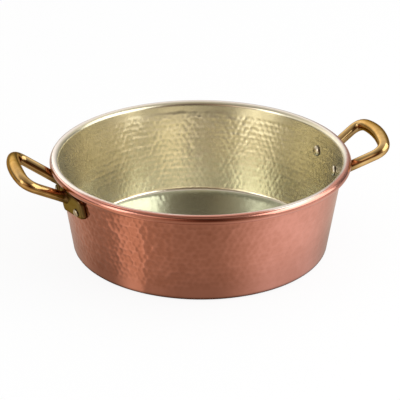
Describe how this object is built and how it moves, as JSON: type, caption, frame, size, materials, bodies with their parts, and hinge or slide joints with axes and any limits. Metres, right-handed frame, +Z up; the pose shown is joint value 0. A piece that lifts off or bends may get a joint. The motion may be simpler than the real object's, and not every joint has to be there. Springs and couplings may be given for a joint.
{
  "type": "shallow casserole pan",
  "caption": "Round shallow copper pan for stewing and braising, with a flared hammered wall, rolled rim, tinned inside and fixed brass loop handles riveted to opposite sides.",
  "frame": {"origin": "centre of the flat underside, on the pan's axis", "axes": "+Z up along the pan's axis, +X through the middle of the right handle, +Y away from the picture's viewer"},
  "size_m": [0.386, 0.3, 0.1093],
  "materials": {
    "copper": null,
    "tin": "wiped tin over hammered copper, warm grey",
    "wire": "plain drawn wire, hidden in the rim",
    "handle_brass": "polished cast brass",
    "rivet_metal": "tinned rivet, domed by hammer"
  },
  "bodies": {
    "root": {"copper_body": "copper", "tin_lining": "tin", "rim_wire": "wire", "right_handle": "handle_brass", "left_handle": "handle_brass", "right_front_rivet": "rivet_metal", "right_back_rivet": "rivet_metal", "left_front_rivet": "rivet_metal", "left_back_rivet": "rivet_metal"}
  },
  "joints": []
}
